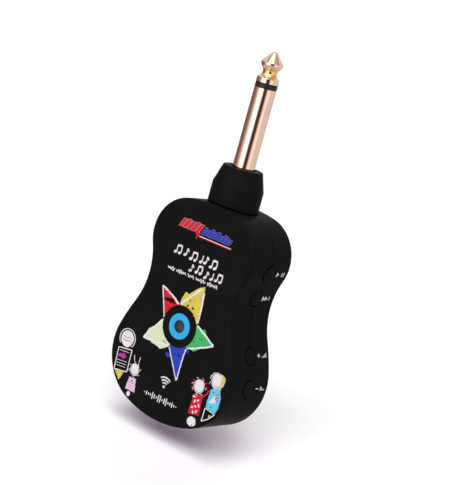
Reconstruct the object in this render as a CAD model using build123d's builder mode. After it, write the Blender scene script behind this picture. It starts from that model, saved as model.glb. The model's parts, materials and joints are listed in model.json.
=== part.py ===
from build123d import *
import os
from math import acos, asin, copysign, cos, degrees, radians, sin

# Wireless guitar transmitter: a guitar-shaped clamshell on a fixed 6.35 mm plug.
#
# Frame, in millimetres: the origin is the centre of the neck's top face, on the plug's axis.
# +Z runs along the plug to its tip, -Y is the printed front face, +Y is the rear face with
# the screws, and X runs left to right as seen from the front. The shells part at y = 0.

# ---- housing --------------------------------------------------------------------------
DEPTH = 18.6  # front face to rear face
HALF_DEPTH = DEPTH / 2
WALL = 1.8
INNER_HALF_DEPTH = HALF_DEPTH - WALL
EDGE_RADIUS = 0.9  # round along the front and rear edges
BODY_TOP = -11.13  # height of the guitar outline on its centre line
# The right half of the outline, clockwise from the top: (radius, turn in degrees), where a
# positive turn is to the left. A last arc closes it on the centre line.
OUTLINE = ((51.0, -10.0), (11.55, -102.8), (21.13, 48.4), (69.42, -7.5), (15.74, -87.3))
UPPER_BOUT, LOWER_BOUT = 1, 4  # places in OUTLINE
SEAM_GROOVE_WIDTH = 0.16
SEAM_GROOVE_DEPTH = 0.2
LIP_DEPTH = 1.0  # how far in from the outside the front shell's locating lip stands
LIP_HEIGHT = 0.9
LIP_CLEARANCE = 0.08

# ---- neck, all radii about the plug's axis ------------------------------------------------
NECK_TOP_RADIUS = 5.73
NECK_RADIUS = 7.42
NECK_SHOULDER = -5.5  # height where the cone meets the cylinder
NECK_FOOT_REACH = 0.3  # the neck's blank runs this far into the cavity
NECK_FOOT = BODY_TOP - WALL - NECK_FOOT_REACH
NECK_SHOULDER_ROUND = 0.8
NECK_TOP_ROUND = 0.35
COLLAR_BORE_RADIUS = 3.6
FLANGE_POCKET_RADIUS = 4.5
FLANGE_POCKET_TOP = -1.7
FLANGE_POCKET_FLOOR = -4.2
FLANGE_POCKET_HALF_WIDTH = 4.0  # two flats, which stop the plug turning
CLAMP_RIB_RADIUS = 3.5
CLAMP_RIB_FLOOR = -6.0
NECK_CAVITY_RADIUS = 5.3

# ---- plug -----------------------------------------------------------------------------
PLUG_RADIUS = 6.35 / 2
PLUG_LENGTH = 33.6
PLUG_ROOT_RADIUS = 3.0  # the sleeve is relieved inside the neck
SLEEVE_END = 23.2
SLEEVE_END_CHAMFER = 0.1
RING_END = 24.7
SLEEVE_BORE_RADIUS = 1.9
TIP_ROD_RADIUS = 1.1
# The tip's outline in (radius, height): band, groove and bead, and then the nose.
TIP_BAND_END = 26.0
TIP_BAND_STEP = (3.0, 26.18)
GROOVE_START = (2.75, 26.25)
GROOVE_FLOOR = (2.05, 27.35)
GROOVE_END = (2.3, 28.6)
BEAD_SIDE = (3.0, 29.5)
BEAD_EDGE = (3.17, 30.35)
NOSE_RADIUS = 1.05
NOSE_ANGLE = 50.0  # degrees from the apex to where the cone starts
TIP_ROD_TAIL = 0.9  # the rod's riveted end below the tip lug
SLEEVE_REAR = -9.0
SLEEVE_REAR_RADIUS = 3.4
FLANGE_FIT = 0.05
FLANGE_SIDE_FIT = 0.1
LUG_THICKNESS = 0.35
REAR_INSULATOR_LENGTH = 1.15
LUG_TAB_WIDTH = 1.8
TIP_LUG_RADIUS = 2.2
TIP_TAB_Y = 1.2  # front side of the tip lug's tab
TIP_TAB_END = -14.0
GROUND_LUG_RADIUS = 3.75
GROUND_TAB_Y = -GROUND_LUG_RADIUS
GROUND_TAB_END = -13.4

# ---- buttons and their switches ------------------------------------------------------------
BUTTON_HEIGHTS = {"upper": -25.3, "waist": -33.1, "flank": -48.9, "lower": -57.8}
BUTTON_RADIUS = 2.42
BUTTON_HOLE_RADIUS = 2.62
BUTTON_PROUD = 0.2
BUTTON_DOME = 0.12
BUTTON_EDGE_ROUND = 0.2
EAR_TOP = 2.05  # depths below the wall's outer surface
EAR_THICKNESS = 0.6
EAR_SPAN = 6.7
EAR_WIDTH = 3.0
EAR_CORNER = 0.6
PLUNGER_TOP = 3.25
PLUNGER_RADIUS = 0.85
PLUNGER_LENGTH = 1.5
STEM_RADIUS = 1.1
SWITCH_TOP = 3.85
SWITCH_DEPTH = 3.0
SWITCH_WIDTH = 4.5
SWITCH_HEIGHT = 3.1
SWITCH_BORE_RADIUS = 1.0
SWITCH_BORE_DEPTH = 1.6

# ---- case screws and posts -------------------------------------------------------------
POST_RADIUS = 2.8
POST_EDGE = 4.0  # post axis to the outside of the wall
POST_ANGLE = 46.0  # from the horizontal, about each bout's centre
SCREW_SEAT = 6.0  # y of the seat under a screw's head
SCREW_HEAD_RADIUS = 1.9
SCREW_HEAD_HEIGHT = 1.3
SCREW_RADIUS = 1.0
SCREW_CORE_RADIUS = 0.84
SCREW_THREAD_START = 0.0
SCREW_END = -5.2
HEAD_ROUND = 0.4  # shares of a screw head's height and radius
RECESS_DEPTH = 0.6
RECESS_LENGTH = 1.3
RECESS_WIDTH = 0.3
COUNTERBORE_RADIUS = 2.05
CLEARANCE_RADIUS = 1.15
PILOT_RADIUS = 0.85
PILOT_END = -6.0

# ---- main board ------------------------------------------------------------------------
BOARD_FRONT = 1.6
BOARD_THICKNESS = 1.0
BOARD_REAR = BOARD_FRONT + BOARD_THICKNESS
BOARD_INSET = 3.2
BOARD_TOP = -16.6
BOARD_TRIM = (40.0, 10.0)  # what is cut off above the board's straight top edge
POST_NOTCH_RADIUS = POST_RADIUS + 0.3
STANDOFF_HEIGHTS = (-21.6, -64.1)
STANDOFF_RADIUS = 2.0
BOARD_HOLE_RADIUS = 0.9
BOARD_PILOT_RADIUS = 0.65
BOARD_PILOT_END = -4.5
BOARD_SCREW_HEAD_RADIUS = 1.5
BOARD_SCREW_HEAD_HEIGHT = 0.8
BOARD_SCREW_RADIUS = 0.8
BOARD_SCREW_CORE_RADIUS = 0.64
BOARD_SCREW_END = -3.8

# ---- light pipe ------------------------------------------------------------------------
LIGHT_HEIGHT = -47.0
LENS_RADIUS = 1.74
LENS_HOLE_RADIUS = 1.8
LENS_RECESS = 0.05
LENS_CROWN = 0.12
PIPE_FLANGE_RADIUS = 2.6
PIPE_FLANGE_THICKNESS = 0.8
PIPE_ROD_RADIUS = 1.5
PIPE_BOSS_WALL = 0.85
PIPE_BOSS_HEIGHT = 1.6
PIPE_FIT = 0.05
LED_THICKNESS = 0.7
LED_GAP = 0.1

# ---- charging socket ---------------------------------------------------------------------
SOCKET_WIDTH = 8.94
SOCKET_HEIGHT = 3.2
SOCKET_LENGTH = 7.35
SOCKET_MOUTH = -74.9
SOCKET_SKIN = 0.3
SOCKET_SLOT_CLEARANCE = 0.18
SOCKET_SLOT_TOP = SOCKET_MOUTH + WALL + 0.5
TONGUE_WIDTH = 6.7
TONGUE_HEIGHT = 0.7
TONGUE_RECESS = 0.7
TONGUE_BLOCK = 1.4

# ---- battery -----------------------------------------------------------------------------
CELL_WIDTH = 24.0
CELL_THICKNESS = 4.2
CELL_BOTTOM = -58.6
CELL_TOP = -31.6
CELL_CORNER = 1.2
CELL_ROUND = 0.8
TAPE_THICKNESS = 0.5
TAPE_WIDTH = 18.0
TAPE_HEIGHT = 22.0
CELL_FRONT = BOARD_REAR + TAPE_THICKNESS
CELL_REAR = CELL_FRONT + CELL_THICKNESS
PROTECTION_TOP = -28.6
PROTECTION_WIDTH = 21.0
PROTECTION_THICKNESS = 1.8
PROTECTION_OFFSET = 0.8  # from the cell's front side
PROTECTION_CORNER = 0.4
RIB_THICKNESS = 0.8
RIB_GAP = 0.25
RIB_FRONT = 4.2
SIDE_RIB_HEIGHT = 12.0
SIDE_RIB_MIDDLE = -50.6
BOTTOM_RIB_X = 6.0
BOTTOM_RIB_WIDTH = 7.0
TOP_RIB_X = 9.0
TOP_RIB_WIDTH = 4.0

CONNECTOR_X = 5.0
CONNECTOR_Z = -22.1
CONNECTOR_WIDTH = 5.0
CONNECTOR_DEPTH = 3.6
CONNECTOR_HEIGHT = 2.4
CONNECTOR_CORNER = 0.3

# ---- chips, on the board's front side ------------------------------------------------------
CHIP_CHAMFER = 0.12
# (x, z, width, height, thickness, corner radius) of each
FRONT_COMPONENTS = {
    "rf_shield": (-7.5, -28.1, 9.0, 8.0, 1.8, 0.5),
    "chip_antenna": (-5.6, -18.6, 5.0, 1.8, 0.9, 0.0),
    "microcontroller": (-4.5, -38.1, 6.0, 6.0, 0.85, 0.2),
    "audio_codec": (5.0, -29.6, 4.0, 4.0, 0.8, 0.2),
    "charger_chip": (-7.0, -63.1, 3.0, 3.0, 0.9, 0.2),
    "crystal": (-10.5, -43.6, 3.2, 2.5, 0.7, 0.4),
    "power_inductor": (-13.0, -58.6, 4.0, 4.0, 1.8, 0.6),
    "status_led": (0.0, LIGHT_HEIGHT, 1.6, 1.2, LED_THICKNESS, 0.0),
}
# Small chips in rows beside what they serve: (first x, first z, step in x, step in z, how many).
CAPACITOR_ROWS = (
    (-9.0, -33.6, 2.2, 0.0, 3),
    (1.4, -29.6, 0.0, -2.0, 4),
    (-10.5, -61.1, 0.0, -1.8, 3),
)
CAPACITOR_SIZE = (1.6, 0.8, 0.8)
RESISTOR_ROWS = (
    (5.2, -35.1, 0.0, -1.6, 5),
    (-5.5, -53.6, 1.8, 0.0, 4),
)
RESISTOR_SIZE = (1.5, 0.8, 0.45)

# ---- wires -----------------------------------------------------------------------------
WIRE_RADIUS = 0.5
WIRE_BEND = 1.2
SIGNAL_WIRE_BEND = 1.0
# Corners of the leads to the plug, from the lug to the board.
SIGNAL_LUG_Y = TIP_TAB_Y + LUG_THICKNESS + WIRE_RADIUS
SIGNAL_BOARD_Y = BOARD_REAR + WIRE_RADIUS
SIGNAL_ROUTE = (
    (0, SIGNAL_LUG_Y, -12.2),
    (0, SIGNAL_LUG_Y, -14.2),
    (-2.2, SIGNAL_BOARD_Y, -16.4),
    (-2.8, SIGNAL_BOARD_Y, -19.2),
)
GROUND_LUG_Y = GROUND_TAB_Y - WIRE_RADIUS
GROUND_BOARD_Y = BOARD_FRONT - WIRE_RADIUS
GROUND_ROUTE = (
    (0, GROUND_LUG_Y, -11.4),
    (0, GROUND_LUG_Y, -14.6),
    (2.6, -0.5, -17.2),
    (3.4, GROUND_BOARD_Y, -19.8),
)
BATTERY_WIRE_Y = BOARD_REAR + 1.3
BATTERY_WIRE_END = 1.6  # the straight run at either end of a battery lead
CELL_TABS_X = 3.2
CELL_TAB_OFFSET = 2.6
CONNECTOR_PIN_OFFSET = 1.1


def right_half(inset=0.0):
    """List the outline's right half as (x, z, heading, radius, turn, centre x, centre z)."""
    arcs = []
    x, z, heading = 0.0, BODY_TOP - inset, 0.0
    for radius, turn in OUTLINE:
        radius += copysign(inset, turn)
        side = copysign(radius, turn)
        centre_x = x - side * sin(radians(heading))
        centre_z = z + side * cos(radians(heading))
        arcs.append((x, z, heading, radius, turn, centre_x, centre_z))
        heading += turn
        x = centre_x + side * sin(radians(heading))
        z = centre_z - side * cos(radians(heading))
    closing = -180.0 - heading
    radius = x / sin(radians(-closing))
    arcs.append((x, z, heading, radius, closing, 0.0, z - radius * cos(radians(heading))))
    return arcs


def draw_outline(inset):
    """Draw the guitar outline, drawn in by inset, into the open BuildLine."""
    for x, z, heading, radius, turn, _, _ in right_half(inset):
        direction = (cos(radians(heading)), sin(radians(heading)))
        JernArc((x, z), direction, radius, turn)
    mirror(about=Plane.YZ)


def guitar(outer=0.0, inner=None, y=0.0):
    """Face at y inside the outline drawn in by outer and, if given, outside the inner one."""
    with BuildSketch(Plane.XZ.offset(-y)) as sketch:
        with BuildLine():
            draw_outline(outer)
        make_face()
        if inner is not None:
            with BuildLine():
                draw_outline(inner)
            make_face(mode=Mode.SUBTRACT)
    return sketch.sketch


def profile(*corners, y=0.0):
    """Face at y with the given (x, z) corners."""
    with BuildSketch(Plane.XZ.offset(-y)) as sketch:
        with BuildLine():
            Polyline(*corners, close=True)
        make_face()
    return sketch.sketch


def discs(radius, places, y=0.0):
    """Discs at y, one at each (x, z) place."""
    with BuildSketch(Plane.XZ.offset(-y)) as sketch:
        with Locations(*places):
            Circle(radius)
    return sketch.sketch


def crown(apex, radius, rise):
    """Shallow arc from the axis at height apex, which has risen or fallen by rise at radius."""
    sphere = (radius**2 + rise**2) / (2 * abs(rise))
    JernArc((0, apex), (1, 0), sphere, copysign(degrees(asin(radius / sphere)), rise))


def plate(x, z, width, height, y=0.0, corner=0.0):
    """Rectangle at y, centred on (x, z), with rounded corners if corner is given."""
    with BuildSketch(Plane.XZ.offset(-y)) as sketch:
        with Locations((x, z)):
            if corner:
                RectangleRounded(width, height, corner)
            else:
                Rectangle(width, height)
    return sketch.sketch


def tube_section(outer, inner, low, high):
    """Half section of a tube about the plug's axis, for revolve."""
    return profile((inner, low), (outer, low), (outer, high), (inner, high))


def wall_plane(z, depth=0.0):
    """Plane on the right wall at height z, facing out, moved in by depth; its x is row Y."""
    for _, _, heading, radius, turn, centre_x, centre_z in right_half():
        side = copysign(radius, turn)
        ratio = (centre_z - z) / side
        if abs(ratio) > 1:
            continue
        there = -degrees(acos(ratio))
        if min(heading, heading + turn) <= there <= max(heading, heading + turn):
            break
    x = centre_x + side * sin(radians(there))
    normal = Vector(-sin(radians(there)), 0, cos(radians(there)))
    return Plane(Vector(x, 0, z) - normal * depth, x_dir=(0, 1, 0), z_dir=normal)


def post_place(arc, sign):
    """Axis of a screw post, POST_EDGE inside the wall of a bout."""
    _, _, _, radius, _, centre_x, centre_z = right_half()[arc]
    reach = radius - POST_EDGE
    across = centre_x + reach * cos(radians(POST_ANGLE))
    return across, centre_z + sign * reach * sin(radians(POST_ANGLE))


def save(piece, name):
    """Label a finished piece and write it as the node of that name."""
    piece.part.label = name
    export_step(piece.part, f"parts/{name}.step")


os.makedirs("parts", exist_ok=True)
RIGHT_POSTS = (post_place(UPPER_BOUT, 1), post_place(LOWER_BOUT, -1))
POSTS = RIGHT_POSTS + tuple((-x, z) for x, z in RIGHT_POSTS)
STANDOFFS = tuple((0.0, z) for z in STANDOFF_HEIGHTS)
LIGHT = ((0.0, LIGHT_HEIGHT),)

# ---- the closed housing, before it is parted into two shells ------------------------------
with BuildPart() as housing:
    extrude(guitar(), amount=HALF_DEPTH, both=True)
    fillet(housing.faces().filter_by(Axis.Y).edges(), EDGE_RADIUS)
    with BuildSketch(Plane.XZ) as neck_section:
        with BuildLine():
            Polyline(
                (0, 0),
                (NECK_TOP_RADIUS, 0),
                (NECK_RADIUS, NECK_SHOULDER),
                (NECK_RADIUS, NECK_FOOT),
                (0, NECK_FOOT),
                close=True,
            )
        make_face()
        fillet(neck_section.vertices().group_by(Axis.X)[1], NECK_TOP_ROUND)
        fillet(neck_section.vertices().group_by(Axis.X)[-1].sort_by(Axis.Y)[-1], NECK_SHOULDER_ROUND)
    revolve(axis=Axis.Z)
    # a fine groove along the parting line, round the body and up both sides of the neck
    groove = SEAM_GROOVE_WIDTH / 2
    extrude(guitar(0, SEAM_GROOVE_DEPTH), amount=groove, both=True, mode=Mode.SUBTRACT)
    # cavity, plug pocket and screw posts
    extrude(guitar(WALL), amount=INNER_HALF_DEPTH, both=True, mode=Mode.SUBTRACT)
    revolve(
        profile((0, NECK_FOOT), (NECK_CAVITY_RADIUS, NECK_FOOT), (NECK_CAVITY_RADIUS, CLAMP_RIB_FLOOR),
                (CLAMP_RIB_RADIUS, CLAMP_RIB_FLOOR), (CLAMP_RIB_RADIUS, FLANGE_POCKET_FLOOR),
                (COLLAR_BORE_RADIUS, FLANGE_POCKET_FLOOR), (COLLAR_BORE_RADIUS, 0), (0, 0)),
        axis=Axis.Z,
        mode=Mode.SUBTRACT,
    )
    with BuildSketch(Plane.XY.offset(FLANGE_POCKET_FLOOR)):
        Circle(FLANGE_POCKET_RADIUS)
        Rectangle(3 * FLANGE_POCKET_RADIUS, 2 * FLANGE_POCKET_HALF_WIDTH, mode=Mode.INTERSECT)
    extrude(amount=FLANGE_POCKET_TOP - FLANGE_POCKET_FLOOR, mode=Mode.SUBTRACT)
    extrude(discs(POST_RADIUS, POSTS), amount=INNER_HALF_DEPTH, both=True)

# ---- what is cut through the side walls of both shells -------------------------------------
with BuildPart() as wall_openings:
    for height in BUTTON_HEIGHTS.values():
        with BuildSketch(wall_plane(height, 2 * WALL)):
            Circle(BUTTON_HOLE_RADIUS)
        extrude(amount=3 * WALL)
    with BuildSketch(Plane.XY.offset(SOCKET_SLOT_TOP)):
        slot = 2 * SOCKET_SLOT_CLEARANCE
        SlotOverall(SOCKET_WIDTH + slot, SOCKET_HEIGHT + slot)
    extrude(amount=-2 * WALL)

with BuildPart() as front_shell:
    add(housing.part)
    split(bisect_by=Plane.XZ, keep=Keep.TOP)
    # locating lip, light-pipe boss and board standoffs
    extrude(guitar(LIP_DEPTH, WALL, LIP_HEIGHT), amount=LIP_HEIGHT + WALL)
    neck_cavity = tube_section(NECK_CAVITY_RADIUS, 0, NECK_FOOT, CLAMP_RIB_FLOOR)
    revolve(neck_cavity, axis=Axis.Z, mode=Mode.SUBTRACT)
    boss_y = PIPE_BOSS_HEIGHT - INNER_HALF_DEPTH
    boss_bore = PIPE_FLANGE_RADIUS + PIPE_FIT
    extrude(discs(boss_bore + PIPE_BOSS_WALL, LIGHT, boss_y), amount=PIPE_BOSS_HEIGHT)
    extrude(discs(boss_bore, LIGHT, boss_y), amount=PIPE_BOSS_HEIGHT, mode=Mode.SUBTRACT)
    extrude(discs(LENS_HOLE_RADIUS, LIGHT), amount=HALF_DEPTH, mode=Mode.SUBTRACT)
    extrude(discs(STANDOFF_RADIUS, STANDOFFS, BOARD_FRONT), amount=BOARD_FRONT + INNER_HALF_DEPTH)
    extrude(discs(BOARD_PILOT_RADIUS, STANDOFFS, BOARD_FRONT), amount=BOARD_FRONT - BOARD_PILOT_END,
            mode=Mode.SUBTRACT)
    extrude(discs(PILOT_RADIUS, POSTS), amount=-PILOT_END, mode=Mode.SUBTRACT)
    add(wall_openings.part, mode=Mode.SUBTRACT)
save(front_shell, "front_shell")

with BuildPart() as rear_shell:
    add(housing.part)
    split(bisect_by=Plane.XZ, keep=Keep.BOTTOM)
    # rebate for the front shell's lip
    rebate = LIP_HEIGHT + LIP_CLEARANCE
    rebate_ring = guitar(LIP_DEPTH - LIP_CLEARANCE, WALL + LIP_CLEARANCE, rebate)
    extrude(rebate_ring, amount=rebate, mode=Mode.SUBTRACT)
    # counterbored screw holes
    extrude(discs(COUNTERBORE_RADIUS, POSTS, HALF_DEPTH), amount=HALF_DEPTH - SCREW_SEAT, mode=Mode.SUBTRACT)
    extrude(discs(CLEARANCE_RADIUS, POSTS, HALF_DEPTH), amount=HALF_DEPTH, mode=Mode.SUBTRACT)
    # ribs round the battery
    rib_depth = INNER_HALF_DEPTH - RIB_FRONT
    side_rib_x = CELL_WIDTH / 2 + RIB_GAP + RIB_THICKNESS / 2
    end_rib_z = RIB_GAP + RIB_THICKNESS / 2
    ribs = (
        (side_rib_x, SIDE_RIB_MIDDLE, RIB_THICKNESS, SIDE_RIB_HEIGHT),
        (BOTTOM_RIB_X, CELL_BOTTOM - end_rib_z, BOTTOM_RIB_WIDTH, RIB_THICKNESS),
        (TOP_RIB_X, PROTECTION_TOP + end_rib_z, TOP_RIB_WIDTH, RIB_THICKNESS),
    )
    for x, z, width, height in ribs:
        extrude(plate(x, z, width, height, INNER_HALF_DEPTH), amount=rib_depth)
        extrude(plate(-x, z, width, height, INNER_HALF_DEPTH), amount=rib_depth)
    add(wall_openings.part, mode=Mode.SUBTRACT)
save(rear_shell, "rear_shell")


# ---- screws ----------------------------------------------------------------------------
def screws(places, seat, head, head_height, shank, core, shoulder, end):
    """Pan-head cross-recess screws, heads to the rear, under the heads at y = seat."""
    with BuildPart() as group:
        extrude(discs(head, places, seat + head_height), amount=head_height)
        tops = group.faces().filter_by(Axis.Y).group_by(Axis.Y)[-1]
        fillet(tops.edges(), head_height * HEAD_ROUND)
        extrude(discs(shank, places, seat), amount=seat - shoulder)
        extrude(discs(core, places, shoulder), amount=shoulder - end)
        with BuildSketch(Plane.XZ.offset(-seat - head_height)):
            with Locations(*places):
                Rectangle(RECESS_LENGTH * head, RECESS_WIDTH * head)
                Rectangle(RECESS_WIDTH * head, RECESS_LENGTH * head)
        extrude(amount=head_height * RECESS_DEPTH, mode=Mode.SUBTRACT)
    return group


case_screws = screws(POSTS, SCREW_SEAT, SCREW_HEAD_RADIUS, SCREW_HEAD_HEIGHT,
                     SCREW_RADIUS, SCREW_CORE_RADIUS, SCREW_THREAD_START, SCREW_END)
save(case_screws, "case_screws")

board_screws = screws(STANDOFFS, BOARD_REAR, BOARD_SCREW_HEAD_RADIUS, BOARD_SCREW_HEAD_HEIGHT,
                      BOARD_SCREW_RADIUS, BOARD_SCREW_CORE_RADIUS, BOARD_FRONT, BOARD_SCREW_END)
save(board_screws, "board_screws")

# ---- plug ------------------------------------------------------------------------------
with BuildPart() as plug_sleeve:
    revolve(tube_section(PLUG_RADIUS, SLEEVE_BORE_RADIUS, 0, SLEEVE_END), axis=Axis.Z)
    chamfer(plug_sleeve.edges().group_by(Axis.Z)[-1], SLEEVE_END_CHAMFER)
    flange_top = FLANGE_POCKET_TOP - FLANGE_FIT
    flange_floor = FLANGE_POCKET_FLOOR + FLANGE_FIT
    flange_radius = FLANGE_POCKET_RADIUS - FLANGE_SIDE_FIT
    flange_width = 2 * (FLANGE_POCKET_HALF_WIDTH - FLANGE_SIDE_FIT)
    revolve(tube_section(PLUG_ROOT_RADIUS, SLEEVE_BORE_RADIUS, flange_top, 0), axis=Axis.Z)
    with BuildSketch(Plane.XY.offset(flange_floor)):
        Circle(flange_radius)
        Rectangle(3 * flange_radius, flange_width, mode=Mode.INTERSECT)
        Circle(SLEEVE_BORE_RADIUS, mode=Mode.SUBTRACT)
    extrude(amount=flange_top - flange_floor)
    revolve(tube_section(SLEEVE_REAR_RADIUS, SLEEVE_BORE_RADIUS, SLEEVE_REAR, flange_floor), axis=Axis.Z)
save(plug_sleeve, "plug_sleeve")

GROUND_LUG_LOW = SLEEVE_REAR - LUG_THICKNESS
REAR_INSULATOR_LOW = GROUND_LUG_LOW - REAR_INSULATOR_LENGTH
TIP_LUG_LOW = REAR_INSULATOR_LOW - LUG_THICKNESS
TIP_ROD_END = TIP_LUG_LOW - TIP_ROD_TAIL

with BuildPart() as plug_core_insulator:
    revolve(tube_section(SLEEVE_BORE_RADIUS, TIP_ROD_RADIUS, GROUND_LUG_LOW, SLEEVE_END), axis=Axis.Z)
save(plug_core_insulator, "plug_core_insulator")

with BuildPart() as plug_insulator_ring:
    revolve(tube_section(PLUG_RADIUS, TIP_ROD_RADIUS, SLEEVE_END, RING_END), axis=Axis.Z)
save(plug_insulator_ring, "plug_insulator_ring")

with BuildPart() as plug_tip:
    with BuildSketch(Plane.XZ):
        with BuildLine():
            Polyline((0, TIP_ROD_END), (TIP_ROD_RADIUS, TIP_ROD_END), (TIP_ROD_RADIUS, RING_END),
                     (PLUG_RADIUS, RING_END), (PLUG_RADIUS, TIP_BAND_END), TIP_BAND_STEP, GROOVE_START)
            ThreePointArc(GROOVE_START, GROOVE_FLOOR, GROOVE_END)
            ThreePointArc(GROOVE_END, BEAD_SIDE, BEAD_EDGE)
            nose = JernArc((0, PLUG_LENGTH), (1, 0), NOSE_RADIUS, -NOSE_ANGLE)
            Line(nose @ 1, BEAD_EDGE)
            Line((0, PLUG_LENGTH), (0, TIP_ROD_END))
        make_face()
    revolve(axis=Axis.Z)
save(plug_tip, "plug_tip")

with BuildPart() as plug_rear_insulator:
    section = tube_section(SLEEVE_REAR_RADIUS, TIP_ROD_RADIUS, REAR_INSULATOR_LOW, GROUND_LUG_LOW)
    revolve(section, axis=Axis.Z)
save(plug_rear_insulator, "plug_rear_insulator")


def lug(low, outer, inner, tab_y, tab_end):
    """Washer under the plug with a solder tab that hangs down at tab_y."""
    with BuildPart() as piece:
        revolve(tube_section(outer, inner, low, low + LUG_THICKNESS), axis=Axis.Z)
        tab = plate(0, (low + tab_end) / 2, LUG_TAB_WIDTH, low - tab_end, tab_y + LUG_THICKNESS)
        extrude(tab, amount=LUG_THICKNESS)
    return piece


tip_lug = lug(TIP_LUG_LOW, TIP_LUG_RADIUS, TIP_ROD_RADIUS, TIP_TAB_Y, TIP_TAB_END)
save(tip_lug, "plug_tip_lug")

ground_lug = lug(GROUND_LUG_LOW, GROUND_LUG_RADIUS, SLEEVE_BORE_RADIUS, GROUND_TAB_Y, GROUND_TAB_END)
save(ground_lug, "plug_ground_lug")

# ---- main board ------------------------------------------------------------------------
with BuildPart() as main_board:
    extrude(guitar(BOARD_INSET, y=BOARD_REAR), amount=BOARD_THICKNESS)
    trim = plate(0, BOARD_TOP + BOARD_TRIM[1] / 2, *BOARD_TRIM, BOARD_REAR)
    extrude(trim, amount=BOARD_THICKNESS, mode=Mode.SUBTRACT)
    extrude(discs(POST_NOTCH_RADIUS, POSTS, BOARD_REAR), amount=BOARD_THICKNESS, mode=Mode.SUBTRACT)
    extrude(discs(BOARD_HOLE_RADIUS, STANDOFFS, BOARD_REAR), amount=BOARD_THICKNESS, mode=Mode.SUBTRACT)
save(main_board, "main_board")

for name, (x, z, width, height, thickness, corner) in FRONT_COMPONENTS.items():
    with BuildPart() as component:
        extrude(plate(x, z, width, height, BOARD_FRONT, corner), amount=thickness)
        front = component.faces().filter_by(Axis.Y).sort_by(Axis.Y)[0]
        chamfer(front.edges(), CHIP_CHAMFER)
    save(component, name)


def chip_rows(rows, width, height, thickness):
    """Small chips on the board, in straight rows."""
    with BuildPart() as chips:
        for x, z, step_x, step_z, count in rows:
            for index in range(count):
                place = plate(x + step_x * index, z + step_z * index, width, height, BOARD_FRONT)
                extrude(place, amount=thickness)
    return chips


capacitors = chip_rows(CAPACITOR_ROWS, *CAPACITOR_SIZE)
save(capacitors, "capacitors")

resistors = chip_rows(RESISTOR_ROWS, *RESISTOR_SIZE)
save(resistors, "resistors")

# ---- light pipe ------------------------------------------------------------------------
with BuildPart() as light_pipe:
    lens_face = -HALF_DEPTH + LENS_RECESS
    with BuildSketch(Plane.XY.offset(LIGHT_HEIGHT)):
        with BuildLine():
            crown(lens_face, LENS_RADIUS, LENS_CROWN)
            Polyline(
                (LENS_RADIUS, lens_face + LENS_CROWN),
                (LENS_RADIUS, -INNER_HALF_DEPTH),
                (PIPE_FLANGE_RADIUS, -INNER_HALF_DEPTH),
                (PIPE_FLANGE_RADIUS, PIPE_FLANGE_THICKNESS - INNER_HALF_DEPTH),
                (PIPE_ROD_RADIUS, PIPE_FLANGE_THICKNESS - INNER_HALF_DEPTH),
                (PIPE_ROD_RADIUS, BOARD_FRONT - LED_THICKNESS - LED_GAP),
                (0, BOARD_FRONT - LED_THICKNESS - LED_GAP),
                (0, lens_face),
            )
        make_face()
    revolve(axis=Axis((0, 0, LIGHT_HEIGHT), (0, 1, 0)))
save(light_pipe, "light_pipe")

# ---- charging socket ---------------------------------------------------------------------
with BuildPart() as socket_shell:
    with BuildSketch(Plane.XY.offset(SOCKET_MOUTH)):
        SlotOverall(SOCKET_WIDTH, SOCKET_HEIGHT)
    extrude(amount=SOCKET_LENGTH)
    with BuildSketch(Plane.XY.offset(SOCKET_MOUTH)):
        SlotOverall(SOCKET_WIDTH - 2 * SOCKET_SKIN, SOCKET_HEIGHT - 2 * SOCKET_SKIN)
    extrude(amount=SOCKET_LENGTH - SOCKET_SKIN, mode=Mode.SUBTRACT)
save(socket_shell, "charging_socket_shell")

with BuildPart() as socket_tongue:
    block_low = SOCKET_MOUTH + SOCKET_LENGTH - SOCKET_SKIN - TONGUE_BLOCK
    with BuildSketch(Plane.XY.offset(block_low)):
        SlotOverall(SOCKET_WIDTH - 2 * SOCKET_SKIN, SOCKET_HEIGHT - 2 * SOCKET_SKIN)
    extrude(amount=TONGUE_BLOCK)
    with BuildSketch(Plane.XY.offset(SOCKET_MOUTH + TONGUE_RECESS)):
        Rectangle(TONGUE_WIDTH, TONGUE_HEIGHT)
    extrude(amount=block_low - SOCKET_MOUTH - TONGUE_RECESS)
save(socket_tongue, "charging_socket_tongue")

# ---- battery -----------------------------------------------------------------------------
CELL_MIDDLE = (CELL_BOTTOM + CELL_TOP) / 2
with BuildPart() as battery_cell:
    cell_height = CELL_TOP - CELL_BOTTOM
    cell_face = plate(0, CELL_MIDDLE, CELL_WIDTH, cell_height, CELL_REAR, CELL_CORNER)
    extrude(cell_face, amount=CELL_THICKNESS)
    fillet(battery_cell.faces().filter_by(Axis.Y).edges(), CELL_ROUND)
save(battery_cell, "battery_cell")

with BuildPart() as protection_board:
    terrace = PROTECTION_TOP - CELL_TOP
    rear = CELL_FRONT + PROTECTION_OFFSET + PROTECTION_THICKNESS
    strip = plate(0, CELL_TOP + terrace / 2, PROTECTION_WIDTH, terrace, rear, PROTECTION_CORNER)
    extrude(strip, amount=PROTECTION_THICKNESS)
save(protection_board, "battery_protection_board")

with BuildPart() as battery_tape:
    extrude(plate(0, CELL_MIDDLE, TAPE_WIDTH, TAPE_HEIGHT, CELL_FRONT), amount=TAPE_THICKNESS)
save(battery_tape, "battery_foam_tape")

with BuildPart() as battery_connector:
    connector_face = plate(CONNECTOR_X, CONNECTOR_Z, CONNECTOR_WIDTH, CONNECTOR_DEPTH,
                           BOARD_REAR + CONNECTOR_HEIGHT, CONNECTOR_CORNER)
    extrude(connector_face, amount=CONNECTOR_HEIGHT)
save(battery_connector, "battery_connector")


# ---- wires -----------------------------------------------------------------------------
def wire(points, bend):
    """Round lead along straight runs that tangent arcs of radius bend join."""
    with BuildPart() as lead:
        with BuildLine() as route:
            FilletPolyline(*points, radius=bend)
        with BuildSketch(Plane(route.line @ 0, z_dir=route.line % 0)):
            Circle(WIRE_RADIUS)
        sweep()
    return lead


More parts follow.
